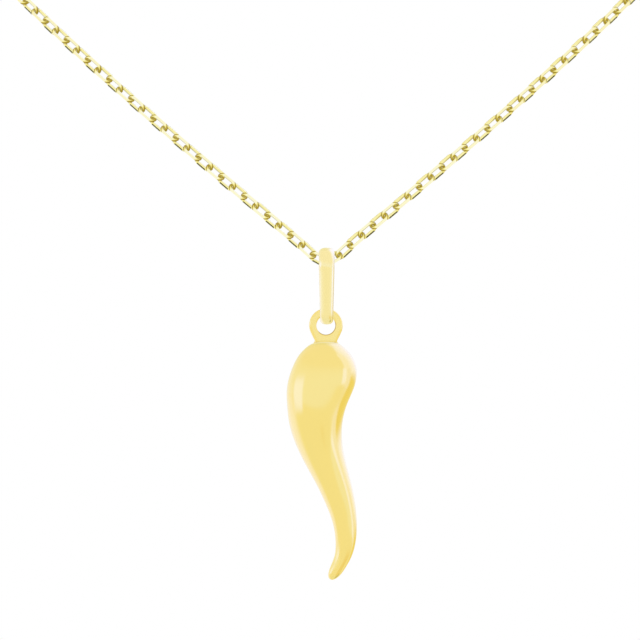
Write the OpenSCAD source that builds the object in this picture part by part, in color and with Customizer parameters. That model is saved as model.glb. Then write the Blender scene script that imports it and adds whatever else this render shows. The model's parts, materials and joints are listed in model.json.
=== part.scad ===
// A smooth curved horn pendant hanging from a fine cable chain necklace, in millimetres.
// The origin is where the back of the closed loop rests on the nape of the neck.
// +Z is up, the pendant hangs on the -Y side, and +X is to the right seen from the front.
// The chain bends through its own soft curve, and the bail and the horn hang from its lowest
// point, each free to swing forwards and backwards.

/* [Horn] */
// Length of the horn from the top of its dome to its tip
horn_length = 20.1; // [16:0.1:24]
// Widest width of the horn
horn_width = 5.74; // [4.8:0.02:6.4]
// Sides of the horn seen from above
horn_sides = 28; // [16:4:36]

/* [Eye of the horn] */
// Outer diameter of the eye
eye_diameter = 2.84; // [2.7:0.02:3.2]
// Diameter of the hole in the eye
eye_hole = 1.58; // [1.56:0.02:1.7]
// Thickness of the eye from front to back
eye_thickness = 0.7; // [0.5:0.05:0.7]
// Width of the foot that carries the eye on the horn
foot_width = 1.8; // [1.4:0.1:2.2]

/* [Bail] */
// Height of the opening inside the bail
bail_opening = 5.6; // [5:0.1:7]
// Width of the half-round strap
strap_width = 1.16; // [0.9:0.02:1.18]
// Thickness of the strap at its crown
strap_thickness = 0.42; // [0.38:0.02:0.5]
// Inner radius of the bail's top, round the chain
bail_top_radius = 1.15; // [0.95:0.05:1.4]
// Inner radius of the bail's foot, round the eye
bail_foot_radius = 0.55; // [0.55:0.01:0.65]

/* [Chain] */
// Width of the chain
chain_width = 0.85; // [0.7:0.05:0.86]

/* [Clasp] */
// Diameter of the clasp's barrel
clasp_diameter = 2.6; // [2:0.1:3.2]
// Length of the barrel between its two eyes
clasp_length = 7; // [5:0.1:9]
// Outer diameter of the eyes
clasp_eye_diameter = 1.9; // [1.7:0.1:2.2]
// Thickness of the wire of the eyes
clasp_eye_wire = 0.45; // [0.3:0.05:0.5]

/* [Hidden] */

gold = [0.95, 0.80, 0.42];
pale_gold = [0.97, 0.86, 0.52];
round_sides = 96;

// How far the lowest point of the chain lies in front of the nape, and below it
front_reach = 123.5;
front_drop = 99;

// The hook-up of the pendant, as heights over the lowest point of the chain's centre line
strap_over_chain = 0.78;
bail_top_z = strap_over_chain - bail_top_radius;
bail_foot_z = strap_over_chain - bail_opening + bail_foot_radius;
arc_distance = bail_top_z - bail_foot_z;
leg_lean = asin((bail_top_radius - bail_foot_radius) / arc_distance);
leg_length = arc_distance * cos(leg_lean);
leg_seat = 0.05;
leg_inset = 0.01;
strap_edge_cut = 0.06;
strap_crown_radius = 0.7;
eye_under_strap = 0.47;
eye_z = strap_over_chain - bail_opening - eye_under_strap;
eye_edge_cut = 0.12;
foot_thickness = eye_thickness - 0.1;
foot_top = 0.95;
foot_bottom = 1.75;
dome_top = 1.38;
horn_top_z = eye_z - dome_top;

// The horn's sections: how far down its length, in percent, where its middle lies sideways,
// in percent of its width, and its half width, in percent of half its width
horn_rows = [
    [0, -0.5, 0],
    [0.3, -0.5, 26],
    [1.1, -1, 43],
    [3, -1.3, 60],
    [6, -1.3, 79],
    [10, -2, 92.5],
    [14, -4.1, 98.6],
    [18, -6.9, 100],
    [22, -10.2, 95.8],
    [27, -13.5, 87.2],
    [33, -15.2, 79.8],
    [39, -13.3, 72.9],
    [46, -7.2, 64.6],
    [53, 2, 57],
    [60, 12, 49.8],
    [67, 20.2, 43.5],
    [74, 26.5, 36.8],
    [80, 29.1, 32.5],
    [85, 28.7, 30],
    [90, 24.8, 26.4],
    [95, 17, 23],
    [98, 12, 18],
    [99.6, 9.4, 8.5],
    [100, 9, 0],
];

// The clasp's places along the back of the loop
clasp_cone = 0.8;
clasp_end_diameter = 1.1;
clasp_eye_sink = 0.15;
clasp_eye_middle_radius = (clasp_eye_diameter - clasp_eye_wire) / 2;
clasp_eye_x = clasp_length / 2 - clasp_eye_sink + clasp_eye_diameter / 2;
chain_end_gap = 0.05;
chain_end_x = clasp_eye_x + clasp_eye_diameter / 2 + chain_end_gap;

// Half of the chain's route, from its lowest point to its end beside the clasp:
// how far across, how far back and how far up
half_route = [
    [0, 0, 0],
    [0.5, 0, 0.16],
    [1.1, 0, 0.62],
    [2, 0, 1.45],
    [4, 0.1, 3.15],
    [8, 0.4, 6.5],
    [14, 1.2, 11.65],
    [20, 2.6, 17],
    [26, 4.8, 22.7],
    [32, 8.6, 29],
    [38, 14.2, 36],
    [44, 21.6, 43.5],
    [50, 31.5, 52],
    [55, 42.5, 60.5],
    [58.5, 54.5, 69],
    [60, 66.5, 77],
    [59.5, 78.5, 84],
    [56.5, 90.5, 89.5],
    [51, 101, 93.5],
    [43.5, 109.8, 96.3],
    [34.5, 116.5, 98],
    [24, 121.2, 98.8],
    [14, 123.2, 99],
    [chain_end_x, front_reach, front_drop],
];
long_stretch = 8.2;
chain_sides = 8;
loop_up = [0, -0.64, 0.77];

// Direction of a curve through rows at row i, weighted by the distances to its neighbours
function row_direction(rows, i, before, after) =
    let (
        from = i > 0 ? rows[i - 1] : before,
        to = i < len(rows) - 1 ? rows[i + 1] : after,
        near = norm(rows[i] - from),
        far = norm(to - rows[i])
    )
    ((rows[i] - from) / near * far + (to - rows[i]) / far * near) / (near + far);

// A point on the smooth curve from one row to the next, t of the way along
function row_between(a, b, leaving, arriving, t) =
    let (span = norm(b - a))
    a * (2 * t * t * t - 3 * t * t + 1)
    + leaving * span * (t * t * t - 2 * t * t + t)
    + b * (3 * t * t - 2 * t * t * t)
    + arriving * span * (t * t * t - t * t);

// All points of the smooth curve through rows, with two steps over a stretch longer than longest
function smooth_rows(rows, before, after, longest) = [
    for (i = [0 : len(rows) - 2])
        let (
            leaving = row_direction(rows, i, before, after),
            arriving = row_direction(rows, i + 1, before, after),
            steps = norm(rows[i + 1] - rows[i]) > longest ? 2 : 1
        )
        for (k = [0 : steps - 1]) row_between(rows[i], rows[i + 1], leaving, arriving, k / steps),
    rows[len(rows) - 1],
];

// Faces round a skin over rings that all have the same number of sides
function side_faces(rings, sides) = [
    for (r = [0 : rings - 2])
        for (s = [0 : sides - 1])
            let (a = r * sides + s, b = r * sides + (s + 1) % sides)
            for (face = [[a, b + sides, a + sides], [a, b, b + sides]]) face,
];

// The horn's rows in millimetres, and the same after smoothing
horn_sections = [
    for (row = horn_rows) [
        row[0] / 100 * horn_length,
        row[1] / 100 * horn_width,
        row[2] / 100 * horn_width / 2,
    ],
];
horn_last = len(horn_sections) - 1;
horn_curve = smooth_rows(
    horn_sections,
    [horn_sections[1][0], horn_sections[1][1], -horn_sections[1][2]],
    [horn_sections[horn_last - 1][0], horn_sections[horn_last - 1][1], -horn_sections[horn_last - 1][2]],
    0
);
horn_count = len(horn_curve);

// Front-to-back share of a section's width: a round horn cut level where its middle leans
function roundness(i) =
    let (run = horn_curve[i + 1] - horn_curve[i - 1])
    cos(atan(run[1] / run[0]));

horn_rings = [
    for (i = [1 : horn_count - 2])
        let (row = horn_curve[i], depth = row[2] * roundness(i))
        for (s = [0 : horn_sides - 1])
            let (turn = 360 * s / horn_sides)
            [row[1] + row[2] * cos(turn), depth * sin(turn), -row[0]],
];
horn_ring_count = horn_count - 2;
horn_points = concat(
    horn_rings,
    [[horn_curve[0][1], 0, 0], [horn_curve[horn_count - 1][1], 0, -horn_length]]
);
top_point = horn_ring_count * horn_sides;
tip_point = top_point + 1;
horn_faces = concat(
    [for (s = [0 : horn_sides - 1]) [top_point, (s + 1) % horn_sides, s]],
    side_faces(horn_ring_count, horn_sides),
    [
        for (s = [0 : horn_sides - 1])
            let (ring_start = (horn_ring_count - 1) * horn_sides)
            [tip_point, ring_start + s, ring_start + (s + 1) % horn_sides],
    ]
);

// The chain's whole route, from its left end round the front to its right end
route_rows = [
    for (i = [len(half_route) - 1 : -1 : 0])
        [-half_route[i][0], half_route[i][1] - front_reach, half_route[i][2] - front_drop],
    for (i = [1 : len(half_route) - 1])
        [half_route[i][0], half_route[i][1] - front_reach, half_route[i][2] - front_drop],
];
route_last = len(route_rows) - 1;
route = smooth_rows(
    route_rows,
    2 * route_rows[0] - route_rows[1],
    2 * route_rows[route_last] - route_rows[route_last - 1],
    long_stretch
);
route_count = len(route);

// Direction of the chain at a point of its route
function heading(i) =
    let (run = route[min(i + 1, route_count - 1)] - route[max(i - 1, 0)])
    run / norm(run);

chain_points = [
    for (i = [0 : route_count - 1])
        let (
            ahead = heading(i),
            across = cross(ahead, loop_up) / norm(cross(ahead, loop_up)),
            over = cross(across, ahead)
        )
        for (s = [0 : chain_sides - 1])
            let (turn = 360 * (s + 0.5) / chain_sides)
            route[i] + (across * cos(turn) + over * sin(turn)) * chain_width / 2,
];
chain_faces = concat(
    [[for (s = [chain_sides - 1 : -1 : 0]) s]],
    side_faces(route_count, chain_sides),
    [[for (s = [0 : chain_sides - 1]) (route_count - 1) * chain_sides + s]]
);

// Half-round section of the bail's strap: flat inside with cut edges, domed outside
module strap_section(inset) {
    half = strap_width / 2 - inset;
    intersection() {
        translate([strap_thickness - strap_crown_radius, 0])
            circle(r = strap_crown_radius - inset, $fn = round_sides);
        polygon([
            [inset, -half + strap_edge_cut],
            [inset + strap_edge_cut, -half],
            [strap_thickness, -half],
            [strap_thickness, half],
            [inset + strap_edge_cut, half],
            [inset, half - strap_edge_cut],
        ]);
    }
}

// Bend of the strap about the X axis, where 0 degrees points down and 90 degrees back
module strap_bend(inner_radius, from, sweep) {
    rotate([0, 90, 0])
        rotate_extrude(angle = sweep, start = from, $fn = round_sides)
            translate([inner_radius, 0])
                strap_section(0);
}

// Straight leg of the strap, a shade thinner than the bends, with its ends seated in them
module strap_leg(at, offset) {
    rotate([0, 90, 0])
        rotate([0, 0, at])
            translate([bail_top_radius, offset + leg_seat, 0])
                rotate([90, 0, 0])
                    linear_extrude(leg_length + 2 * leg_seat)
                        strap_section(leg_inset);
}

// Closed teardrop loop that the chain runs through
module bail() {
    color(pale_gold)
        translate([0, -front_reach, -front_drop]) {
            translate([0, 0, bail_top_z]) {
                strap_bend(bail_top_radius, 90 - leg_lean, 180 + 2 * leg_lean);
                strap_leg(90 - leg_lean, 0);
                strap_leg(270 + leg_lean, leg_length);
            }
            translate([0, 0, bail_foot_z])
                strap_bend(bail_foot_radius, leg_lean - 90, 180 - 2 * leg_lean);
        }
}

// Flat eye with cut edges, its hole from front to back
module horn_eye() {
    inner = eye_hole / 2;
    outer = eye_diameter / 2;
    half = eye_thickness / 2;
    rotate([90, 0, 0])
        rotate_extrude($fn = round_sides)
            polygon([
                [inner, -half + eye_edge_cut],
                [inner + eye_edge_cut, -half],
                [outer - eye_edge_cut, -half],
                [outer, -half + eye_edge_cut],
                [outer, half - eye_edge_cut],
                [outer - eye_edge_cut, half],
                [inner + eye_edge_cut, half],
                [inner, half - eye_edge_cut],
            ]);
}

// Curved horn with its eye soldered on top
module horn() {
    color(gold)
        translate([0, -front_reach, -front_drop]) {
            translate([0, 0, horn_top_z])
                polyhedron(points = horn_points, faces = horn_faces, convexity = 4);
            translate([0, 0, eye_z]) {
                horn_eye();
                translate([-foot_width / 2, -foot_thickness / 2, -foot_bottom])
                    cube([foot_width, foot_thickness, foot_bottom - foot_top]);
            }
        }
}

// Fine chain as one slender tube along its true route
module chain() {
    color(gold)
        polyhedron(points = chain_points, faces = chain_faces, convexity = 6);
}

// Small eye of round wire in the XZ plane
module clasp_eye() {
    rotate([90, 0, 0])
        rotate_extrude($fn = round_sides)
            translate([clasp_eye_middle_radius, 0])
                circle(d = clasp_eye_wire, $fn = round_sides);
}

// Closed barrel clasp with an eye at each end for the ends of the chain
module clasp() {
    half = clasp_length / 2;
    color(gold) {
        rotate([0, 90, 0])
            rotate_extrude($fn = round_sides)
                polygon([
                    [0, -half],
                    [clasp_end_diameter / 2, -half],
                    [clasp_diameter / 2, -half + clasp_cone],
                    [clasp_diameter / 2, half - clasp_cone],
                    [clasp_end_diameter / 2, half],
                    [0, half],
                ]);
        for (x = [-clasp_eye_x, clasp_eye_x])
            translate([x, 0, 0])
                clasp_eye();
    }
}

horn();
bail();
chain();
clasp();
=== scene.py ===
"""A polished horn pendant on a fine cable chain, modelled as an add-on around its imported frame."""

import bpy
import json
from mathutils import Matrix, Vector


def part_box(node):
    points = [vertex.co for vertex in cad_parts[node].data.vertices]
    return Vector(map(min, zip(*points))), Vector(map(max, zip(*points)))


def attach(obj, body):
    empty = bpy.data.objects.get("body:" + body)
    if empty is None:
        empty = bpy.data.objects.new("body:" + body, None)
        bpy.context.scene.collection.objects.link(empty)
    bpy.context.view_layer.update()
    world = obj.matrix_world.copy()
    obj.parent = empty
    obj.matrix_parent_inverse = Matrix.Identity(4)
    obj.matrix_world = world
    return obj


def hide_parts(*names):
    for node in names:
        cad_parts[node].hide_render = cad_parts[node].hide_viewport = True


bl_info = {
    "name": "Horn Pendant Necklace",
    "version": (1, 0, 0),
    "blender": (4, 5, 0),
    "location": "3D View > Sidebar > Pendant",
    "description": "Models a horn pendant with its bail, cable chain and clasp in a plain studio",
    "category": "Add Mesh",
}

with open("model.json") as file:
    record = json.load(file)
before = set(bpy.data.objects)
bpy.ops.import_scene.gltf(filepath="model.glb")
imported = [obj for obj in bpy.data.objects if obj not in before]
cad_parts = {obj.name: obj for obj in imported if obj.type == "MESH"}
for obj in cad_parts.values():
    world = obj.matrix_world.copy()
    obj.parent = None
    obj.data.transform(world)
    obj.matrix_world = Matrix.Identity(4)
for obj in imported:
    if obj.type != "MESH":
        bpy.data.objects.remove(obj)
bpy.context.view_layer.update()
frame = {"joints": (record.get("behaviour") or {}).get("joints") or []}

import json
import math
import random

import bmesh
import bpy
from bpy.props import FloatProperty, FloatVectorProperty, IntProperty, PointerProperty
from mathutils import Matrix, Vector

MM = 0.001


def joint_place(name):
    """Place of a joint's axis in the frame."""
    return Vector(next(joint["pos_m"] for joint in frame["joints"] if joint["name"] == name))


# Where the bail rolls on the chain, and where the horn's eye rolls in the foot of the bail
CHAIN_LOW = joint_place("bail_swing")
BAIL_FOOT = joint_place("horn_swing")
HORN_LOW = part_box("horn")[0]

# The horn's sections: how far down its length, in percent, where its middle lies sideways,
# in percent of its width, its half width, in percent of half its width, and its half depth,
# in percent of its half width across its own lean
HORN_ROWS = [
    (0, -0.5, 0, 98),
    (0.3, -0.5, 26, 98),
    (1.1, -1, 43, 98),
    (3, -1.3, 60, 98),
    (6, -1.3, 79, 98),
    (10, -2, 92.5, 96),
    (14, -4.1, 98.6, 95),
    (18, -6.9, 100, 96),
    (22, -10.2, 95.8, 101.5),
    (27, -13.5, 87.2, 111),
    (33, -15.2, 79.8, 116),
    (39, -13.3, 72.9, 115),
    (46, -7.2, 65.4, 111),
    (53, 2, 58.6, 107),
    (60, 12, 51.4, 104),
    (67, 20.2, 44.6, 102),
    (74, 26.5, 37.3, 100),
    (80, 29.1, 32.5, 100),
    (85, 28.7, 29, 100),
    (90, 25.4, 25.4, 100),
    (95, 17, 23, 100),
    (98, 12, 18, 100),
    (99.6, 9.4, 8.5, 100),
    (100, 9, 0, 100),
]

# How the rim of the eye is drawn down to its neck: below its shoulder it is stretched down, and
# below each of the neck's heights it is pulled in by the same small share. The heights are over
# the middle of the eye, in millimetres
NECK_SHOULDER = -0.7
NECK_STRETCH = 2.2
NECK_HEIGHTS = [-0.80 - 0.045 * step for step in range(10)]
NECK_SHARE = 0.9915

# The least angle at a sharp edge of the eye, in radians
SHARP_ANGLE = 1.0

# The collar of solder round the neck's foot, in millimetres: height, half width, half depth
COLLAR_ROWS = [
    (-1.27, 0.93, 0.34),
    (-1.33, 0.96, 0.38),
    (-1.39, 1.00, 0.42),
    (-1.46, 1.04, 0.46),
    (-1.54, 1.07, 0.48),
    (-1.64, 1.08, 0.48),
]

# Where the wall of the eye's hole gets painted shade: the shaded side, in the plane of the eye,
# how squarely a face looks inwards, and how near it lies to that side, both from where the shade
# begins to where it is full
SHADED_SIDE = Vector((0.53, -0.85))
SHADED_INWARDS = (0.4, 0.6857)
SHADED_NEAR = (-0.1, 0.4)

# How the strap's half-round section is shaped: where its bevels' upper edges lie, in degrees, how
# far the crown is spread sideways, and how its lower edges are spread and lowered
BEVEL_ANGLE = 60
CROWN_SPREAD = 1.18
SIDE_SPREAD, SIDE_HEIGHT = 1.04, 0.88

# How the strap is marked, with a painted highlight on its bevels and painted shade on its sides, by
# the sideways part of its normal: a bevel's own and how far off it may be, and a side's from where
# it begins to where it is full. In millimetres, the bevels fade in downwards from the middle of the
# top bend, and upwards from a little under the middle of the foot bend. The gold of the right and
# the left side is deeper by a share, as painted shade
BEVEL_NORMAL, BEVEL_SPREAD = 0.6, 0.35
BEVEL_FADE, BEVEL_FOOT = 0.6, 0.3
SIDE_NORMALS = (0.75, 0.95)
RIGHT_SHADE, LEFT_SHADE = 0.6, 0.25

# Which of a link's golds is on its cut flats, with their painted glint, on its bows, with painted
# shade where they meet, and on its far rail, with its painted shade, and how squarely a face of the
# far rail looks outwards to have it
CUT, BOW, FAR_RAIL = 1, 2, 3
FAR_RAIL_OUTWARDS = 0.6

# How each link is rolled to one side or the other, in degrees, and by how much more or less
LINK_ROLL, LINK_ROLL_PLAY = 45, 4
LINK_SEED = 5

# The hairline scratches in the gold: how far each of their three layers is turned, the shares of
# that about X, Y and Z, how far a scratch is drawn out, and between which values of the noise it
# appears
SCRATCH_TURNS = (0.5, 1.7, 2.6)
SCRATCH_AXES = (1, 0.7, 1.3)
SCRATCH_STRETCH = 0.04
SCRATCH_LEVELS = (0.62, 0.72)

# The marks in the gold: how much duller a scratch and a wave make it, how deep a scratch lies
# beside a wave, the strength and height of the bump, and how open a place is where it counts in
# full as a hollow and where it no longer does
SCRATCH_DULLNESS, WAVE_DULLNESS = 0.08, 0.05
SCRATCH_DEPTH = 0.02
BUMP_STRENGTH, BUMP_HEIGHT = 0.25, 0.03 * MM
HOLLOW_OPENNESS = (0.35, 0.9)

# What the polished gold mirrors: each upright card's direction from the pendant, in degrees round
# from the camera to the picture's right, its half width, its foot and top over the horizon, and
# the softness of its edges, in degrees too, and its light
REFLECTIONS = [
    ("back_card", 180, 24, -30, 55, 28, (0.91, 0.90, 0.68)),
    ("low_left_glow", -134, 29, -48, 4, 36, (1.05, 1.07, 1.45)),
    ("left_box", -82, 20, -4, 16, 9, (1.05, 1.12, 1.8)),
    ("right_wall", 119, 44, -17, 62, 7, (1.03, 1.06, 1.42)),
    ("right_core", 140, 26, 0, 55, 36, (1.05, 1.13, 2.0)),
    ("right_gap", 98, 9, -17, 9, 8, (1.0, 1.01, 1.25)),
    ("right_strip", 77, 8, -11, 10, 5, (1.05, 1.12, 1.85)),
    ("right_flag", 143, 35, -28, -3, 13, (0.93, 0.83, 0.38)),
    ("low_flag", 56, 28, -60, -27, 12, (0.93, 0.82, 0.50)),
    ("tip_flag", 117, 26, -68, -44, 12, (0.62, 0.60, 0.33)),
]

# The room's own light: over the horizon, overhead, on the floor, and straight below, which way is
# up in the room, and between which heights each light fades into the next
HORIZON_LIGHT = (0.99, 1.01, 1.06)
CEILING_LIGHT = (0.985, 0.96, 0.86)
FLOOR_LIGHT = (0.985, 0.955, 0.79)
UNDER_LIGHT = (0.95, 0.94, 0.80)
HORIZON_UP = Vector((0.14, 0, 1)).normalized()
CEILING_FADE = (0.05, 0.5)
FLOOR_FADE = (-0.095, -0.055)
UNDER_FADE = (-0.9, -0.6)

# How far ahead a direction goes towards a card where the card fades in round its sides
CARD_AHEAD = (0.0, 0.1)

# Where a Mix node's two colours are among its inputs
MIX_FIRST, MIX_SECOND = 6, 7

# Half of the chain's route, in metres from its lowest point: across, back and up
HALF_ROUTE = [
    (0, 0, 0),
    (0.0005, 0, 0.00016),
    (0.0011, 0, 0.00062),
    (0.002, 0, 0.00145),
    (0.004, 0.0001, 0.00315),
    (0.008, 0.0004, 0.0065),
    (0.014, 0.0012, 0.01165),
    (0.020, 0.0026, 0.017),
    (0.026, 0.0048, 0.0227),
    (0.032, 0.0086, 0.029),
    (0.038, 0.0142, 0.036),
    (0.044, 0.0216, 0.0435),
    (0.050, 0.0315, 0.052),
    (0.055, 0.0425, 0.0605),
    (0.0585, 0.0545, 0.069),
    (0.060, 0.0665, 0.077),
    (0.0595, 0.0785, 0.084),
    (0.0565, 0.0905, 0.0895),
    (0.051, 0.101, 0.0935),
    (0.0435, 0.1098, 0.0963),
    (0.0345, 0.1165, 0.098),
    (0.024, 0.1212, 0.0988),
    (0.014, 0.1232, 0.099),
    (0.0053, 0.1235, 0.099),
]

# The clasp's barrel, in millimetres: place along it from its middle, and radius
BARREL_ROWS = [
    (-3.50, 0.46),
    (-3.44, 0.56),
    (-2.84, 1.14),
    (-2.66, 1.27),
    (-2.50, 1.30),
    (-0.16, 1.30),
    (-0.09, 1.27),
    (-0.04, 1.21),
    (0.04, 1.21),
    (0.09, 1.27),
    (0.16, 1.30),
    (2.50, 1.30),
    (2.66, 1.27),
    (2.84, 1.14),
    (3.44, 0.56),
    (3.50, 0.46),
]


def length_property(name, description, default):
    """A length that the sidebar shows in the scene's unit."""
    return FloatProperty(
        name=name, description=description, default=default, min=0, precision=5,
        unit="LENGTH", subtype="DISTANCE",
    )


def count_property(name, description, default, least):
    """A whole number with its least value."""
    return IntProperty(name=name, description=description, default=default, min=least)


def colour_property(name, description, default):
    """A colour with a picker in the sidebar."""
    return FloatVectorProperty(
        name=name, description=description, default=default, min=0, max=1, size=3, subtype="COLOR"
    )


class HornSizes(bpy.types.PropertyGroup):
    """Sizes of the horn and its eye."""

    length: length_property("Length", "Length of the horn from its dome to its tip", 20.1 * MM)
    width: length_property("Width", "Widest width of the horn", 5.74 * MM)
    sides: count_property("Sides", "Sides of each ring of the horn", 36, 12)
    eye_diameter: length_property("Eye", "Outer diameter of the eye", 2.84 * MM)
    eye_hole: length_property("Eye hole", "Diameter of the hole in the eye", 1.58 * MM)
    eye_thickness: length_property("Eye thickness", "Thickness of the eye, front to back", 0.7 * MM)
    eye_drop: length_property("Eye drop", "Drop of the eye under the bail's foot bend", 1.02 * MM)
    rim_rounding: length_property("Rim rounding", "Rounding of the eye's outer rims", 0.22 * MM)
    hole_rounding: length_property("Hole rounding", "Rounding of the hole's rims", 0.13 * MM)


class BailSizes(bpy.types.PropertyGroup):
    """Sizes of the bail's strap."""

    top_radius: length_property("Top radius", "Inner radius of the bend over the chain", 1.15 * MM)
    foot_radius: length_property("Foot radius", "Inner radius of the bend in the eye", 0.55 * MM)
    top_over_chain: length_property("Top over chain", "Inner height over the chain", 0.84 * MM)
    top_width: length_property("Top width", "Width of the strap over the chain", 1.37 * MM)
    foot_width: length_property("Foot width", "Width of the strap in the eye", 1.16 * MM)
    sideways: length_property("Sideways", "How far it has slid right along the chain", 0.06 * MM)
    thickness: length_property("Thickness", "Thickness of the strap at its crown", 0.46 * MM)
    inner_crown: length_property("Inner crown", "Rounding of the strap's inside", 0.05 * MM)
    crown: length_property("Crown", "How far the strap's crown stands over its bevels", 0.02 * MM)
    bend_steps: count_property("Bend steps", "Sections of the strap in each bend", 14, 4)
    leg_steps: count_property("Leg steps", "Sections of the strap along each leg", 6, 1)


class ChainSizes(bpy.types.PropertyGroup):
    """Sizes of the links of the chain."""

    pitch: length_property("Pitch", "Distance from link to link", 1.27 * MM)
    wire: length_property("Wire", "Thickness of a link's wire", 0.32 * MM)
    half_width: length_property("Half width", "Half width to the middle of the wire", 0.44 * MM)
    cut_height: length_property("Cut height", "Distance of the cuts from its middle", 0.40 * MM)
    end_link_radius: length_property("End link", "Radius of the round link at each end", 0.8 * MM)


class ClaspSizes(bpy.types.PropertyGroup):
    """Sizes of the clasp's eyes."""

    eye_diameter: length_property("Eye", "Outer diameter of an eye", 1.9 * MM)
    eye_wire: length_property("Eye wire", "Thickness of an eye's wire", 0.45 * MM)
    eye_sink: length_property("Eye sink", "How deep an eye sits in the barrel", 0.15 * MM)


class GoldColours(bpy.types.PropertyGroup):
    """Colours of the gold on each piece."""

    horn: colour_property("Horn", "Polished gold of the horn", (0.945, 0.775, 0.29))
    bail: colour_property("Bail", "Polished gold of the bail", (0.965, 0.85, 0.45))
    # the chain's golds are lit and shaded copies of its wire's one gold: paler on the rails and
    # paler still on the cut flats as painted highlights, more golden on the bows, olive as painted
    # shade
    chain: colour_property("Chain", "Gold of the links' rails", (0.955, 0.89, 0.45))
    bow: colour_property("Bow", "Gold of the links' ends, where they meet", (1.0, 0.92, 0.36))
    # painted glint: the paler gold of the cut flats
    cut: colour_property("Cut", "Bright cut flats of the chain", (0.98, 0.93, 0.60))
    clasp: colour_property("Clasp", "Polished gold of the clasp", (0.945, 0.79, 0.31))
    # painted shade: the deeper gold that hollows and creases are darkened to
    deep: colour_property("Deep gold", "Gold in hollows that mirror gold", (0.52, 0.35, 0.07))
    # painted shade between the links' ends, where they meet
    bronze: colour_property("Bronze", "Worn gold between the links' ends", (0.42, 0.31, 0.03))
    # painted highlight: the paler gold of the bail's bevels
    bevel: colour_property("Bevel", "Bright bevels of the bail", (1.0, 0.93, 0.66))
    olive: colour_property("Olive", "Shaded gold under the links' rails", (0.15, 0.14, 0.02))


class StudioSettings(bpy.types.PropertyGroup):
    """Places of the camera and the floor."""

    camera_distance: length_property("Camera distance", "Distance from the pendant", 0.4497)
    lens: FloatProperty(
        name="Lens", description="Focal length of the camera", default=300,
        subtype="DISTANCE_CAMERA",
    )
    aim: FloatVectorProperty(
        name="Aim", description="Point at the middle of the picture",
        default=(-0.0005, CHAIN_LOW.y, -0.10385), size=3, subtype="XYZ", unit="LENGTH", precision=5,
    )
    floor_height: FloatProperty(
        name="Floor height", description="Height of the floor", default=-0.165,
        unit="LENGTH", subtype="DISTANCE",
    )
    floor_radius: length_property("Floor radius", "Radius of the round floor", 0.4)
    floor_forward: length_property("Floor forward", "How far its middle lies before the nape", 0.06)


def deselect():
    """Leaves nothing selected, because an operator acts on all that is."""
    if bpy.context.mode != "OBJECT":
        bpy.ops.object.mode_set(mode="OBJECT")
    bpy.ops.object.select_all(action="DESELECT")


def pick(piece):
    """Leaves only this piece selected, and makes it the active one."""
    deselect()
    piece.select_set(True)
    bpy.context.view_layer.objects.active = piece


def edit(piece):
    """Opens one piece in edit mode with all of it selected."""
    pick(piece)
    bpy.ops.object.mode_set(mode="EDIT")
    bpy.ops.mesh.select_all(action="SELECT")


def select_vertices(test):
    """Selects the vertices of the piece in edit mode whose place in the frame passes the test."""
    piece = bpy.context.edit_object
    mesh = bmesh.from_edit_mesh(piece.data)
    for vertex in mesh.verts:
        vertex.select = bool(test(piece.matrix_world @ vertex.co))
    mesh.select_flush_mode()
    mesh.select_flush(True)
    mesh.select_flush(False)
    bmesh.update_edit_mesh(piece.data)


def select_faces(test):
    """Selects the faces of the piece in edit mode that pass the test."""
    piece = bpy.context.edit_object
    bpy.ops.mesh.select_mode(type="FACE")
    mesh = bmesh.from_edit_mesh(piece.data)
    for face in mesh.faces:
        face.select = bool(test(face))
    bmesh.update_edit_mesh(piece.data)


def assign_faces(slot, test):
    """Gives one of its golds to the edited piece's faces whose place and normal pass the test."""
    select_faces(lambda face: test(face.calc_center_median(), face.normal))
    bpy.context.edit_object.active_material_index = slot
    bpy.ops.object.material_slot_assign()


def settle(piece, name):
    """Names a finished piece and puts its place into its mesh, with its object at the origin."""
    pick(piece)
    bpy.ops.object.transform_apply(location=True, rotation=True, scale=True)
    piece.name = name
    piece.data.name = name
    return piece


def join(pieces):
    """Joins pieces into the first of them."""
    deselect()
    for piece in pieces:
        piece.select_set(True)
    bpy.context.view_layer.objects.active = pieces[0]
    if len(pieces) > 1:
        bpy.ops.object.join()
    return bpy.context.view_layer.objects.active


def shade_smooth(piece):
    """Shades a piece smooth."""
    pick(piece)
    bpy.ops.object.shade_smooth()


def subdivide_smooth(piece, levels):
    """Applies a Subdivision Surface modifier and shades the piece smooth."""
    pick(piece)
    modifier = piece.modifiers.new("smooth", "SUBSURF")
    modifier.levels = levels
    modifier.render_levels = levels
    bpy.ops.object.modifier_apply(modifier=modifier.name)
    bpy.ops.object.shade_smooth()


def ramp(value, low, high):
    """How far a value has come from low to high, from 0 to 1."""
    return min(max((value - low) / (high - low), 0), 1)


def mark_vertices(piece, name, value):
    """Notes on each vertex of a piece what a function says of it, for its material to read."""
    marks = piece.data.attributes.new(name, "FLOAT", "POINT").data
    for vertex, mark in zip(piece.data.vertices, marks):
        mark.value = value(vertex)


def tower(rings, sides):
    """A closed tower with a fan at each end, extruded ring by ring along Z: each ring is its
    middle, its half width along X and its half depth along Y."""
    middle, half_width, half_depth = rings[0]
    deselect()
    bpy.ops.mesh.primitive_circle_add(
        vertices=sides, radius=half_width, fill_type="TRIFAN", location=middle
    )
    piece = bpy.context.active_object
    edit(piece)
    bpy.ops.transform.resize(value=(1, half_depth / half_width, 1), center_override=middle)
    for before, after in zip(rings, rings[1:]):
        bpy.ops.mesh.extrude_region_move(TRANSFORM_OT_translate={"value": after[0] - before[0]})
        bpy.ops.transform.resize(
            value=(after[1] / before[1], after[2] / before[2], 1), center_override=after[0]
        )
    bpy.ops.mesh.select_all(action="SELECT")
    bpy.ops.mesh.normals_make_consistent(inside=False)
    return piece


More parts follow.
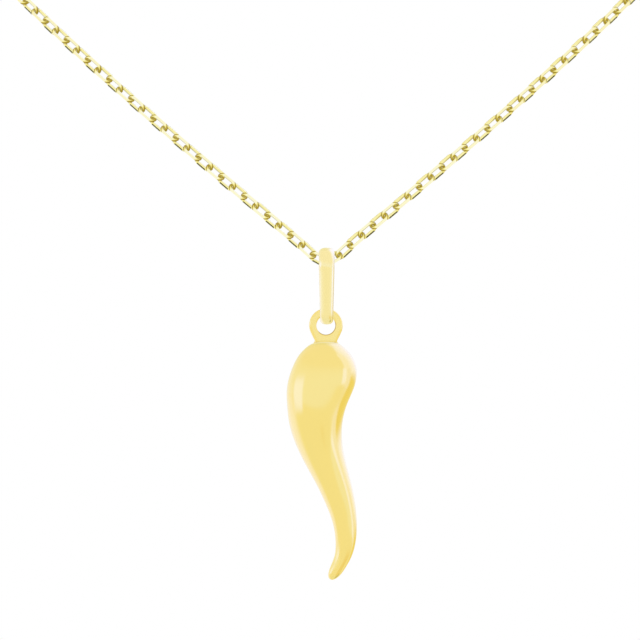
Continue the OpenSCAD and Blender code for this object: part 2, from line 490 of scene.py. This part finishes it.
def row_direction(rows, i):
    """Direction of the curve through rows at row i, weighted by the distances to its neighbours."""
    before = rows[i - 1] if i > 0 else 2 * rows[0] - rows[1]
    after = rows[i + 1] if i < len(rows) - 1 else 2 * rows[i] - rows[i - 1]
    near, far = (rows[i] - before).length, (after - rows[i]).length
    return ((rows[i] - before) / near * far + (after - rows[i]) / far * near) / (near + far)


def smooth_rows(rows, steps):
    """All points of the smooth curve through rows, with steps points to a stretch."""
    rows = [Vector(row) for row in rows]
    points = []
    for i, (a, b) in enumerate(zip(rows, rows[1:])):
        span = (b - a).length
        leaving, arriving = row_direction(rows, i), row_direction(rows, i + 1)
        for k in range(steps):
            t = k / steps
            points.append(
                a * (2 * t**3 - 3 * t**2 + 1)
                + leaving * span * (t**3 - 2 * t**2 + t)
                + b * (3 * t**2 - 2 * t**3)
                + arriving * span * (t**3 - t**2)
            )
    return points + [rows[-1]]


def value_socket(group, name, direction, kind="NodeSocketFloat", default=None):
    """Adds a named socket to a shader node group."""
    socket = group.interface.new_socket(name=name, in_out=direction, socket_type=kind)
    if default is not None:
        socket.default_value = default


def add_node(tree, kind, inputs=(), **settings):
    """Adds a shader node, sets its settings, and fills its inputs with values or links."""
    node = tree.nodes.new(kind)
    for key, setting in settings.items():
        setattr(node, key, setting)
    for key, source in dict(inputs).items():
        if isinstance(source, bpy.types.NodeSocket):
            tree.links.new(source, node.inputs[key])
        else:
            node.inputs[key].default_value = source
    return node


def math_node(tree, operation, *values):
    """A Math node of up to three values, as its output socket."""
    return add_node(tree, "ShaderNodeMath", enumerate(values), operation=operation).outputs[0]


def map_range(tree, source, low, high, to_low, to_high):
    """A smooth Map Range node, as its output socket."""
    inputs = {
        "Value": source, "From Min": low, "From Max": high, "To Min": to_low, "To Max": to_high,
    }
    node = add_node(tree, "ShaderNodeMapRange", inputs, interpolation_type="SMOOTHSTEP")
    return node.outputs["Result"]


def mix_colours(tree, factor, first, second):
    """A Mix node from a colour, or another socket, to a second colour, as its output socket."""
    if not isinstance(first, bpy.types.NodeSocket):
        first = (*first, 1.0)
    inputs = {"Factor": factor, MIX_FIRST: first, MIX_SECOND: (*second, 1.0)}
    return add_node(tree, "ShaderNodeMix", inputs, data_type="RGBA").outputs[2]


def polish_marks_group():
    """Hairline scratches that cross each other, and the slow waves of hand polishing."""
    group = bpy.data.node_groups.new("polish_marks", "ShaderNodeTree")
    value_socket(group, "Vector", "INPUT", "NodeSocketVector")
    value_socket(group, "Scratch Size", "INPUT", default=9000.0)
    value_socket(group, "Wave Size", "INPUT", default=420.0)
    value_socket(group, "Marks", "OUTPUT")
    value_socket(group, "Waves", "OUTPUT")
    start = group.nodes.new("NodeGroupInput")
    end = group.nodes.new("NodeGroupOutput")
    marks = None
    for turn in SCRATCH_TURNS:
        turned = add_node(
            group, "ShaderNodeMapping",
            {
                "Vector": start.outputs["Vector"],
                "Rotation": [turn * share for share in SCRATCH_AXES],
                "Scale": (1, SCRATCH_STRETCH, 1),
            },
        ).outputs[0]
        streaks = add_node(
            group, "ShaderNodeTexNoise",
            {
                "Vector": turned,
                "Scale": start.outputs["Scratch Size"],
                "Detail": 2.0,
                "Roughness": 0.6,
            },
        ).outputs["Fac"]
        lines = map_range(group, streaks, *SCRATCH_LEVELS, 0.0, 1.0)
        marks = lines if marks is None else math_node(group, "MAXIMUM", marks, lines)
    waves = add_node(
        group, "ShaderNodeTexNoise",
        {
            "Vector": start.outputs["Vector"],
            "Scale": start.outputs["Wave Size"],
            "Detail": 1.0,
            "Roughness": 0.4,
        },
    ).outputs["Fac"]
    group.links.new(marks, end.inputs["Marks"])
    group.links.new(waves, end.inputs["Waves"])
    return group


def hollow_group():
    """A mask of the hollows and creases, where gold faces gold, for painted shade."""
    group = bpy.data.node_groups.new("hollows", "ShaderNodeTree")
    value_socket(group, "Reach", "INPUT", default=0.0005)
    value_socket(group, "Hollow", "OUTPUT")
    start = group.nodes.new("NodeGroupInput")
    end = group.nodes.new("NodeGroupOutput")
    occlusion = add_node(
        group, "ShaderNodeAmbientOcclusion", {"Distance": start.outputs["Reach"]},
        samples=8, only_local=True,
    )
    hollow = map_range(group, occlusion.outputs["AO"], *HOLLOW_OPENNESS, 1.0, 0.0)
    group.links.new(hollow, end.inputs["Hollow"])
    return group


def gold_material(
    name, colour, deep, roughness, scratch_size, hollow, under=None, mark=None, highlight=None
):
    """Polished gold with hairline scratches and soft waves of polishing, and painted shade: deeper
    in its hollows, by reach and depth, where it faces down, by depth and the heights of the normal,
    and where an attribute of the piece marks it, by its name and the values for deep and plain gold.
    Another attribute can mark a painted highlight, by its name and the brighter colour."""
    material = bpy.data.materials.new(name)
    material.use_nodes = True
    tree = material.node_tree
    shader = tree.nodes["Principled BSDF"]
    shader.inputs["Metallic"].default_value = 1.0
    coordinates = add_node(tree, "ShaderNodeTexCoord")
    place = coordinates.outputs["Object"]
    marks = add_node(tree, "ShaderNodeGroup", node_tree=bpy.data.node_groups["polish_marks"])
    tree.links.new(place, marks.inputs["Vector"])
    marks.inputs["Scratch Size"].default_value = scratch_size
    hollows = add_node(tree, "ShaderNodeGroup", node_tree=bpy.data.node_groups["hollows"])
    hollows.inputs["Reach"].default_value = hollow[0]
    # painted shade: how far the gold is deepened, in hollows, where it faces down and where marked
    painted_shade = math_node(tree, "MULTIPLY", hollows.outputs["Hollow"], hollow[1])
    if under:
        normal = coordinates.outputs["Normal"]
        upwards = add_node(tree, "ShaderNodeSeparateXYZ", {"Vector": normal}).outputs["Z"]
        shaded = map_range(tree, upwards, under[1], under[2], under[0], 0.0)
        painted_shade = math_node(tree, "MAXIMUM", painted_shade, shaded)
    if mark:
        marked = add_node(tree, "ShaderNodeAttribute", attribute_name=mark[0]).outputs["Fac"]
        painted_shade = math_node(tree, "MAXIMUM", painted_shade, map_range(tree, marked, mark[1], mark[2], 1.0, 0.0))
    shade = mix_colours(tree, painted_shade, colour, deep)
    # painted highlight where an attribute marks it
    if highlight:
        marked = add_node(tree, "ShaderNodeAttribute", attribute_name=highlight[0]).outputs["Fac"]
        shade = mix_colours(tree, marked, shade, highlight[1])
    tree.links.new(shade, shader.inputs["Base Color"])
    scratches, waves = marks.outputs["Marks"], marks.outputs["Waves"]
    dull = math_node(tree, "MULTIPLY_ADD", scratches, SCRATCH_DULLNESS, roughness)
    worn = math_node(tree, "MULTIPLY_ADD", waves, WAVE_DULLNESS, dull)
    tree.links.new(worn, shader.inputs["Roughness"])
    height = math_node(tree, "MULTIPLY_ADD", scratches, -SCRATCH_DEPTH, waves)
    bump = add_node(
        tree, "ShaderNodeBump",
        {"Height": height, "Strength": BUMP_STRENGTH, "Distance": BUMP_HEIGHT},
    )
    tree.links.new(bump.outputs["Normal"], shader.inputs["Normal"])
    return material


def finish_piece(piece, materials, body, node):
    """Gives a piece its gold, ties it to its body and lets it stand for its node."""
    indices = [polygon.material_index for polygon in piece.data.polygons]
    piece.data.materials.clear()
    for material in materials:
        piece.data.materials.append(material)
    if len(materials) > 1:
        piece.data.polygons.foreach_set("material_index", indices)
    piece.visible_glossy = False
    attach(piece, body)
    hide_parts(node)


class PENDANT_OT_stage(bpy.types.Operator):
    """Sets up the camera, the pale floor and the soft light of the studio"""

    bl_idname = "pendant.stage"
    bl_label = "Add Studio"

    def execute(self, context):
        studio = context.scene.pendant_studio
        aim = Vector(studio.aim)
        deselect()
        bpy.ops.object.camera_add(
            location=aim - Vector((0, studio.camera_distance, 0)), rotation=(math.pi / 2, 0, 0)
        )
        camera = context.active_object
        camera.name = "studio_camera"
        camera.data.sensor_width = 36
        camera.data.lens = studio.lens
        camera.data.clip_start = 0.01
        context.scene.camera = camera
        self.add_floor(context, studio)
        self.add_world(context)
        context.scene.view_settings.view_transform = "Standard"
        return {"FINISHED"}

    def add_floor(self, context, studio):
        """A round pale floor well under the pendant."""
        deselect()
        bpy.ops.mesh.primitive_circle_add(
            vertices=96, radius=studio.floor_radius, fill_type="NGON",
            location=(0, -studio.floor_forward, studio.floor_height),
        )
        floor = settle(context.active_object, "studio_floor")
        material = bpy.data.materials.new("studio_floor")
        material.use_nodes = True
        shader = material.node_tree.nodes["Principled BSDF"]
        shader.inputs["Base Color"].default_value = (0.9, 0.9, 0.9, 1)
        shader.inputs["Roughness"].default_value = 0.7
        floor.data.materials.append(material)
        floor.visible_glossy = False

    def add_world(self, context):
        """A white tent: plain white to the camera, and to the gold a pale room with soft cards."""
        world = bpy.data.worlds.new("white_tent")
        world.use_nodes = True
        context.scene.world = world
        tree = world.node_tree
        tree.nodes.clear()
        direction = add_node(tree, "ShaderNodeTexCoord").outputs["Generated"]
        up = self.along(tree, direction, HORIZON_UP)
        light = HORIZON_LIGHT
        zones = (
            (CEILING_FADE, 0.0, 1.0, CEILING_LIGHT),
            (FLOOR_FADE, 1.0, 0.0, FLOOR_LIGHT),
            (UNDER_FADE, 1.0, 0.0, UNDER_LIGHT),
        )
        for fade, below, above, colour in zones:
            zone = map_range(tree, up, *fade, below, above)
            light = mix_colours(tree, zone, light, colour)
        for name, *card, colour in REFLECTIONS:
            light = mix_colours(tree, self.card_mask(tree, direction, *card), light, colour)
            light.node.label = name
        seen = add_node(tree, "ShaderNodeLightPath").outputs["Is Camera Ray"]
        light = mix_colours(tree, seen, light, (1, 1, 1))
        background = add_node(tree, "ShaderNodeBackground", {"Color": light})
        add_node(tree, "ShaderNodeOutputWorld", {"Surface": background.outputs[0]})

    def card_mask(self, tree, direction, azimuth, half_width, foot, top, softness):
        """Where an upright card with soft edges stands in the room."""
        turn = Matrix.Rotation(math.radians(azimuth), 3, "Z")
        ahead = self.along(tree, direction, turn @ Vector((0, -1, 0)))
        right = self.along(tree, direction, turn @ Vector((1, 0, 0)))
        up = self.along(tree, direction, Vector((0, 0, 1)))
        aside = math_node(tree, "ABSOLUTE", math_node(tree, "DIVIDE", right, ahead))
        height = math_node(tree, "DIVIDE", up, ahead)
        mask = map_range(tree, ahead, *CARD_AHEAD, 0.0, 1.0)
        edges = ((aside, half_width, 1.0, 0.0), (height, foot, 0.0, 1.0), (height, top, 1.0, 0.0))
        for place, angle, inner, outer in edges:
            near, far = (math.tan(math.radians(angle + part * softness)) for part in (-0.5, 0.5))
            edge = map_range(tree, place, near, far, inner, outer)
            mask = math_node(tree, "MULTIPLY", mask, edge)
        return mask

    def along(self, tree, direction, axis):
        """How far the direction goes along an axis."""
        return add_node(
            tree, "ShaderNodeVectorMath", {0: direction, 1: axis}, operation="DOT_PRODUCT"
        ).outputs["Value"]


class PENDANT_OT_horn(bpy.types.Operator):
    """Models the curved horn with its flat eye on a soldered neck"""

    bl_idname = "pendant.horn"
    bl_label = "Add Horn"

    def execute(self, context):
        sizes = context.scene.pendant_horn
        eye = BAIL_FOOT - Vector((0, 0, sizes.eye_drop))
        body = self.add_body(sizes)
        collar = self.add_collar(eye)
        ring = self.add_eye(sizes, eye)
        self.mark_polish((body, collar, ring), ring)
        colours = context.scene.pendant_colours
        # painted shade in the hollows and on the shaded wall of the eye's hole
        gold = gold_material(
            "horn_gold", colours.horn, colours.deep, roughness=0.1, scratch_size=9000.0,
            hollow=(0.0003, 0.55), mark=("polish", 0.1, 0.9),
        )
        horn = settle(join([ring, body, collar]), "curved_horn")
        finish_piece(horn, [gold], "horn", "horn")
        return {"FINISHED"}

    def add_body(self, sizes):
        """The horn itself, extruded down its sections: round across its own lean."""
        rows = [
            Vector((
                down * sizes.length,
                middle * sizes.width,
                half * sizes.width / 2,
                half * deep / 100 * sizes.width / 2,
            )) / 100
            for down, middle, half, deep in HORN_ROWS
        ]
        curve = smooth_rows(rows, steps=2)
        rings = []
        for before, row, after in zip(curve, curve[1:], curve[2:]):
            lean = math.atan2(after.y - before.y, after.x - before.x)
            middle = Vector((row.y, CHAIN_LOW.y, HORN_LOW.z + sizes.length - row.x))
            rings.append((middle, row.z, row.w * math.cos(lean)))
        body = tower(rings, sizes.sides)
        # the middle of the fan at each end is drawn out to the horn's end
        for ring, row in ((rings[0], rows[0]), (rings[-1], rows[-1])):
            pole = Vector((row.y, CHAIN_LOW.y, HORN_LOW.z + sizes.length - row.x))
            centre = ring[0]
            select_vertices(lambda place: (place - centre).length < ring[1] / 2)
            bpy.ops.transform.translate(value=pole - centre)
        subdivide_smooth(body, levels=2)
        return body

    def add_collar(self, eye):
        """The collar of solder that flares from the neck to the dome."""
        rings = [
            (eye + Vector((0, 0, up * MM)), wide * MM, deep * MM) for up, wide, deep in COLLAR_ROWS
        ]
        collar = tower(rings, sides=32)
        subdivide_smooth(collar, levels=1)
        return collar

    def add_eye(self, sizes, eye):
        """The flat eye: a disc, inset and bridged to open its hole, and drawn down to its neck."""
        deselect()
        radius = sizes.eye_diameter / 2
        bpy.ops.mesh.primitive_cylinder_add(
            vertices=160, radius=radius, depth=sizes.eye_thickness,
            location=eye, rotation=(math.pi / 2, 0, 0),
        )
        ring = bpy.context.active_object
        edit(ring)
        # the disc's two round faces, whose holes are then bridged
        select_faces(lambda face: len(face.verts) > 4)
        width = (sizes.eye_diameter - sizes.eye_hole) / 2
        bpy.ops.mesh.inset(thickness=width, use_even_offset=False)
        bpy.ops.mesh.bridge_edge_loops()
        bpy.ops.mesh.select_mode(type="VERT")
        self.select_rim_under(eye, radius, NECK_SHOULDER)
        shoulder = eye + Vector((0, 0, NECK_SHOULDER * MM))
        bpy.ops.transform.resize(value=(1, 1, NECK_STRETCH), center_override=shoulder)
        for height in NECK_HEIGHTS:
            self.select_rim_under(eye, radius, height)
            bpy.ops.transform.resize(value=(NECK_SHARE, 1, 1), center_override=eye)
        bpy.ops.mesh.select_all(action="SELECT")
        bpy.ops.mesh.normals_make_consistent(inside=False)
        # the rims of the hole lie within this distance from its middle, and the outer ones past it
        between = sizes.eye_hole / 2 * 1.1
        rims = ((between, math.inf, sizes.rim_rounding), (0, between, sizes.hole_rounding))
        for nearest, farthest, rounding in rims:
            self.select_rims(eye, nearest, farthest)
            bpy.ops.mesh.bevel(offset=rounding, segments=6, profile=0.5, affect="EDGES")
        bpy.ops.mesh.select_all(action="SELECT")
        bpy.ops.mesh.normals_make_consistent(inside=False)
        bpy.ops.mesh.select_mode(type="VERT")
        shade_smooth(ring)
        return ring

    def mark_polish(self, pieces, ring):
        """Marks where painted shade darkens the wall of the eye's hole, on its lower right side."""

        def polish(vertex):
            outwards = vertex.co.xy.normalized()
            inside = ramp(-vertex.normal.xy.dot(outwards), *SHADED_INWARDS)
            near = ramp(outwards.dot(SHADED_SIDE), *SHADED_NEAR)
            return 1 - inside * near

        for piece in pieces:
            mark_vertices(piece, "polish", polish if piece == ring else lambda vertex: 1)

    def select_rim_under(self, eye, radius, height):
        """Selects the outer rim of the eye below a height over its middle, in millimetres."""
        # only the rim's points lie about a radius or more from the middle
        least, top = radius * 0.98, eye.z + height * MM
        select_vertices(lambda place: (place - eye).length > least and place.z < top)

    def select_rims(self, eye, nearest, farthest):
        """Selects the sharp edges of the eye between two distances from its middle."""
        piece = bpy.context.edit_object
        bpy.ops.mesh.select_mode(type="EDGE")
        bpy.ops.mesh.select_all(action="DESELECT")
        mesh = bmesh.from_edit_mesh(piece.data)
        for edge in mesh.edges:
            ends = [piece.matrix_world @ vertex.co - eye for vertex in edge.verts]
            edge.select = (
                len(edge.link_faces) == 2 and edge.calc_face_angle() > SHARP_ANGLE
                and all(nearest < math.hypot(end.x, end.z) < farthest for end in ends)
            )
        bmesh.update_edit_mesh(piece.data)


class PENDANT_OT_bail(bpy.types.Operator):
    """Models the bail: a half-round strap bent into a closed teardrop"""

    bl_idname = "pendant.bail"
    bl_label = "Add Bail"

    def execute(self, context):
        sizes = context.scene.pendant_bail
        slide = Vector((sizes.sideways, 0, 0))
        top = CHAIN_LOW + slide + Vector((0, 0, sizes.top_over_chain - sizes.top_radius))
        foot = BAIL_FOOT + slide
        apart = (top - foot).length
        lean = math.asin((sizes.top_radius - sizes.foot_radius) / apart)
        leg = apart * math.cos(lean)
        strap = self.add_section(sizes, top)
        taper = sizes.foot_width / sizes.top_width
        self.bend(sizes, top, math.pi / 2 + lean)
        self.run_leg(sizes, foot, Vector((0, math.sin(lean), -math.cos(lean))) * leg, taper)
        self.bend(sizes, foot, math.pi - 2 * lean)
        self.run_leg(sizes, foot, Vector((0, math.sin(lean), math.cos(lean))) * leg, 1 / taper)
        self.bend(sizes, top, math.pi / 2 + lean)
        bpy.ops.mesh.select_all(action="SELECT")
        bpy.ops.mesh.remove_doubles(threshold=0.002 * MM)
        bpy.ops.mesh.normals_make_consistent(inside=False)
        subdivide_smooth(strap, levels=1)
        bail = settle(strap, "teardrop_bail")
        self.mark_strap(bail, top, foot)
        colours = context.scene.pendant_colours
        # painted shade in hollows and on the strap's sides, and a painted highlight on its bevels
        gold = gold_material(
            "bail_gold", colours.bail, colours.deep, roughness=0.16, scratch_size=12000.0,
            hollow=(0.0003, 0.12), mark=("polish", 0.0, 1.0), highlight=("bevel", colours.bevel),
        )
        finish_piece(bail, [gold], "bail", "bail")
        return {"FINISHED"}

    def mark_strap(self, bail, top, foot):
        """Marks the bevels of the legs, which fade into the bends, for a painted highlight, and the
        painted shade of the sides: deep on the right side, faint on the left."""

        def bevel(vertex):
            slope = 1 - ramp(abs(abs(vertex.normal.x) - BEVEL_NORMAL), 0, BEVEL_SPREAD)
            inwards = min(top.z - vertex.co.z, vertex.co.z - foot.z + BEVEL_FOOT * MM)
            return slope * ramp(inwards, 0, BEVEL_FADE * MM)

        def polish(vertex):
            side = ramp(abs(vertex.normal.x), *SIDE_NORMALS)
            return 1 - side * (RIGHT_SHADE if vertex.normal.x > 0 else LEFT_SHADE)

        mark_vertices(bail, "bevel", bevel)
        mark_vertices(bail, "polish", polish)

    def add_section(self, sizes, top):
        """The section over the chain: a low crown between two bevels, and nearly flat inside."""
        half = sizes.top_width / 2
        flat = top + Vector((0, 0, sizes.top_radius))
        deselect()
        bpy.ops.mesh.primitive_circle_add(
            vertices=12, radius=half, fill_type="NOTHING",
            location=flat, rotation=(math.pi / 2, 0, 0),
        )
        strap = bpy.context.active_object
        edit(strap)
        tiny = 0.001 * MM
        select_vertices(lambda place: place.z > flat.z + tiny)
        bpy.ops.transform.resize(value=(1, 1, sizes.thickness / half), center_override=flat)
        # the crown comes down to the bevels' upper edges, and their lower edges come down the sides
        bevel = flat.z + sizes.thickness * math.sin(math.radians(BEVEL_ANGLE))
        select_vertices(lambda place: place.z > bevel + tiny)
        drop = bevel + sizes.crown - (flat.z + sizes.thickness)
        bpy.ops.transform.translate(value=(0, 0, drop))
        select_vertices(lambda place: place.z > bevel - tiny)
        bpy.ops.transform.resize(value=(CROWN_SPREAD, 1, 1), center_override=flat)
        select_vertices(lambda place: flat.z + tiny < place.z < bevel - tiny)
        bpy.ops.transform.resize(value=(SIDE_SPREAD, 1, SIDE_HEIGHT), center_override=flat)
        select_vertices(lambda place: place.z < flat.z - tiny)
        bpy.ops.transform.resize(value=(1, 1, sizes.inner_crown / half), center_override=flat)
        bpy.ops.mesh.select_all(action="SELECT")
        return strap

    def bend(self, sizes, centre, angle):
        """Bends the strap on from its open end, from the top towards the front and round."""
        bpy.ops.mesh.spin(steps=sizes.bend_steps, angle=-angle, center=centre, axis=(1, 0, 0))

    def run_leg(self, sizes, foot, run, taper):
        """Runs the strap on straight, growing wider or narrower on the way."""
        steps = sizes.leg_steps
        for _ in range(steps):
            bpy.ops.mesh.extrude_region_move(TRANSFORM_OT_translate={"value": run / steps})
            bpy.ops.transform.resize(value=(taper ** (1 / steps), 1, 1), center_override=foot)


class PENDANT_OT_chain(bpy.types.Operator):
    """Models one link of the cable chain and lays its copies along the whole loop"""

    bl_idname = "pendant.chain"
    bl_label = "Add Chain"

    def execute(self, context):
        sizes = context.scene.pendant_chain
        colours = context.scene.pendant_colours
        # the rails' gold with painted shade where they face down, the cut flats' painted glint, the
        # bows' painted shade where they meet, and the far rail's painted shade
        golds = [
            gold_material(
                "chain_gold", colours.chain, colours.olive, roughness=0.08, scratch_size=16000.0,
                hollow=(0.00012, 0.6), under=(0.4, -0.6, -0.1),
            ),
            gold_material(
                "cut_glint", colours.cut, colours.olive, roughness=0.05, scratch_size=20000.0,
                hollow=(0.0001, 0.3),
            ),
            gold_material(
                "bow_gold", colours.bow, colours.bronze, roughness=0.08, scratch_size=16000.0,
                hollow=(0.00028, 1.0), mark=("ridge", 0.64, 0.84),
            ),
            gold_material(
                "far_rail_shade", colours.chain, colours.olive, roughness=0.08, scratch_size=16000.0,
                hollow=(0.0001, 0.3), under=(1, -0.12, 0.1),
            ),
        ]
        link = self.add_link(sizes, golds)
        pieces = []
        for side in (-1, 1):
            stations = self.stations(sizes, side)
            pieces += self.lay_links(link, stations)
            pieces.append(self.add_end_link(sizes, stations[-1], side))
        bpy.data.objects.remove(link)
        chain = settle(join(pieces), "cable_chain")
        finish_piece(chain, golds, "necklace", "chain")
        return {"FINISHED"}

    def add_link(self, sizes, golds):
        """One oval link along X: a wire ring, drawn out long, with its rails cut flat."""
        wire = sizes.wire / 2
        segments = 14
        # the rails run between the two rings of the torus beside its widest place
        radius = sizes.half_width / math.cos(math.pi / segments)
        deselect()
        bpy.ops.mesh.primitive_torus_add(
            major_segments=segments, minor_segments=6, major_radius=radius, minor_radius=wire
        )
        link = bpy.context.active_object
        for gold in golds:
            link.data.materials.append(gold)
        edit(link)
        bow = sizes.pitch / 2 + wire - radius
        for side in (-1, 1):
            select_vertices(lambda place: place.x * side > 0)
            bpy.ops.transform.translate(value=(side * bow, 0, 0))
        bpy.ops.mesh.select_mode(type="FACE")
        # the near rail is cut in front and outside, the far rail behind
        for side_y, side_z in ((1, 1), (1, -1), (-1, -1)):
            cut = Vector((0, side_y, side_z)).normalized()
            bpy.ops.mesh.select_all(action="SELECT")
            bpy.ops.mesh.bisect(
                plane_co=cut * sizes.cut_height, plane_no=cut, use_fill=True, clear_outer=True,
                threshold=0.0001 * MM,
            )
        near = 0.0005 * MM
        assign_faces(CUT, lambda place, normal: abs(place.dot(normal) - sizes.cut_height) < near)
        bpy.ops.mesh.mark_sharp()
        assign_faces(BOW, lambda place, normal: abs(place.x) > bow)
        # the far rail's outer faces get the far rail's painted shade
        outside = Vector((0, -1, 1)).normalized()
        assign_faces(FAR_RAIL, lambda place, normal: (
            abs(place.x) < bow and place.y < 0 and normal.dot(outside) > FAR_RAIL_OUTWARDS
        ))
        shade_smooth(link)
        self.mark_ridges(link)
        return link

    def mark_ridges(self, link):
        """Marks how squarely the surface looks to the front or back, or up or down: where it looks
        neither way, the bows get painted shade.
        """
        front, up = Vector((0, 1, 1)).normalized(), Vector((0, 1, -1)).normalized()
        mark_vertices(link, "ridge", lambda vertex: max(
            abs(vertex.normal.dot(front)), 3 * abs(vertex.normal.dot(up)) - 2
        ))

    def stations(self, sizes, side):
        """Places where link meets link, a pitch apart along the route from its lowest point."""
        rows = [CHAIN_LOW + Vector((side * across, back, up)) for across, back, up in HALF_ROUTE]
        curve = smooth_rows(rows, steps=24)
        ahead = [0.0]
        for a, b in zip(curve, curve[1:]):
            ahead.append(ahead[-1] + (b - a).length)
        end_length = sizes.end_link_radius
        count = int((ahead[-1] - end_length) / sizes.pitch)
        pitch = (ahead[-1] - end_length) / count
        places = []
        i = 0
        for k in range(count + 1):
            want = min(k * pitch, ahead[-1])
            while i < len(curve) - 2 and ahead[i + 1] < want:
                i += 1
            share = (want - ahead[i]) / (ahead[i + 1] - ahead[i])
            places.append(curve[i].lerp(curve[i + 1], share))
        return places

    def lay_links(self, link, stations):
        """Copies of the link from station to station, rolled left and right in turn, none alike."""
        chance = random.Random(LINK_SEED)
        front = Vector((0, -1, 0))
        copies = []
        for k, (a, b) in enumerate(zip(stations, stations[1:])):
            along = (b - a).normalized()
            front = (front - along * front.dot(along)).normalized()
            up = front.cross(along)
            side = 1 if k % 2 else -1
            roll = math.radians(LINK_ROLL + chance.uniform(-LINK_ROLL_PLAY, LINK_ROLL_PLAY))
            across = up * side * math.sin(roll) + front * math.cos(roll)
            normal = along.cross(across)
            turned = Matrix((along, across, normal)).transposed().to_4x4()
            # the cut is in front of the near rail, so a link rolled the other way is turned round
            if normal.dot(front) < 0:
                turned = turned @ Matrix.Rotation(math.pi, 4, "Y")
            copy = link.copy()
            copy.data = link.data.copy()
            copy.matrix_world = Matrix.Translation((a + b) / 2) @ turned
            bpy.context.scene.collection.objects.link(copy)
            copies.append(copy)
        return copies

    def add_end_link(self, sizes, last, side):
        """The round link that ties the chain to an eye of the clasp."""
        deselect()
        bpy.ops.mesh.primitive_torus_add(
            major_segments=28, minor_segments=10,
            major_radius=sizes.end_link_radius, minor_radius=sizes.wire / 2,
            location=last - Vector((side * sizes.end_link_radius, 0, 0)),
        )
        ring = bpy.context.active_object
        bpy.ops.object.shade_smooth()
        return ring


class PENDANT_OT_clasp(bpy.types.Operator):
    """Models the closed barrel clasp with an eye at each end"""

    bl_idname = "pendant.clasp"
    bl_label = "Add Clasp"

    def execute(self, context):
        sizes = context.scene.pendant_clasp
        rings = [
            (Vector((0, 0, along * MM)), radius * MM, radius * MM) for along, radius in BARREL_ROWS
        ]
        barrel = tower(rings, sides=40)
        subdivide_smooth(barrel, levels=1)
        # with its place in its mesh, the barrel stands over the frame's origin and is laid down
        settle(barrel, "barrel_clasp")
        barrel.rotation_euler = (0, math.pi / 2, 0)
        settle(barrel, "barrel_clasp")
        reach = BARREL_ROWS[-1][0] * MM - sizes.eye_sink + sizes.eye_diameter / 2
        eyes = [self.add_eye(sizes, side * reach) for side in (-1, 1)]
        clasp = settle(join([barrel, *eyes]), "barrel_clasp")
        colours = context.scene.pendant_colours
        # painted shade in the clasp's hollows
        gold = gold_material(
            "clasp_gold", colours.clasp, colours.deep, roughness=0.12, scratch_size=9000.0,
            hollow=(0.0006, 0.6),
        )
        finish_piece(clasp, [gold], "necklace", "clasp")
        return {"FINISHED"}

    def add_eye(self, sizes, x):
        """One eye of round wire, upright along the chain."""
        deselect()
        bpy.ops.mesh.primitive_torus_add(
            major_segments=40, minor_segments=14,
            major_radius=(sizes.eye_diameter - sizes.eye_wire) / 2, minor_radius=sizes.eye_wire / 2,
            location=(x, 0, 0), rotation=(math.pi / 2, 0, 0),
        )
        bpy.ops.object.shade_smooth()
        return bpy.context.active_object


OPERATORS = [
    PENDANT_OT_stage,
    PENDANT_OT_horn,
    PENDANT_OT_bail,
    PENDANT_OT_chain,
    PENDANT_OT_clasp,
]
SETTINGS = [
    ("pendant_studio", StudioSettings),
    ("pendant_colours", GoldColours),
    ("pendant_horn", HornSizes),
    ("pendant_bail", BailSizes),
    ("pendant_chain", ChainSizes),
    ("pendant_clasp", ClaspSizes),
]


class PENDANT_PT_sidebar(bpy.types.Panel):
    """Sizes, colours and pieces of the horn pendant necklace"""

    bl_label = "Horn Pendant"
    bl_idname = "PENDANT_PT_sidebar"
    bl_space_type = "VIEW_3D"
    bl_region_type = "UI"
    bl_category = "Pendant"

    def draw(self, context):
        for operator in OPERATORS:
            self.layout.operator(operator.bl_idname)
        for name, group in SETTINGS:
            column = self.layout.column(heading=group.__name__)
            for key in group.__annotations__:
                column.prop(getattr(context.scene, name), key)


def register():
    """Registers the settings, the operators and the sidebar."""
    for name, group in SETTINGS:
        bpy.utils.register_class(group)
        setattr(bpy.types.Scene, name, PointerProperty(type=group))
    for cls in (*OPERATORS, PENDANT_PT_sidebar):
        bpy.utils.register_class(cls)


def unregister():
    """Takes back what register adds."""
    for cls in (PENDANT_PT_sidebar, *reversed(OPERATORS)):
        bpy.utils.unregister_class(cls)
    for name, group in reversed(SETTINGS):
        delattr(bpy.types.Scene, name)
        bpy.utils.unregister_class(group)


def main():
    """Builds the whole scene."""
    register()
    polish_marks_group()
    hollow_group()
    bpy.ops.pendant.stage()
    bpy.ops.pendant.horn()
    bpy.ops.pendant.bail()
    bpy.ops.pendant.chain()
    bpy.ops.pendant.clasp()


if __name__ == "__main__":
    main()
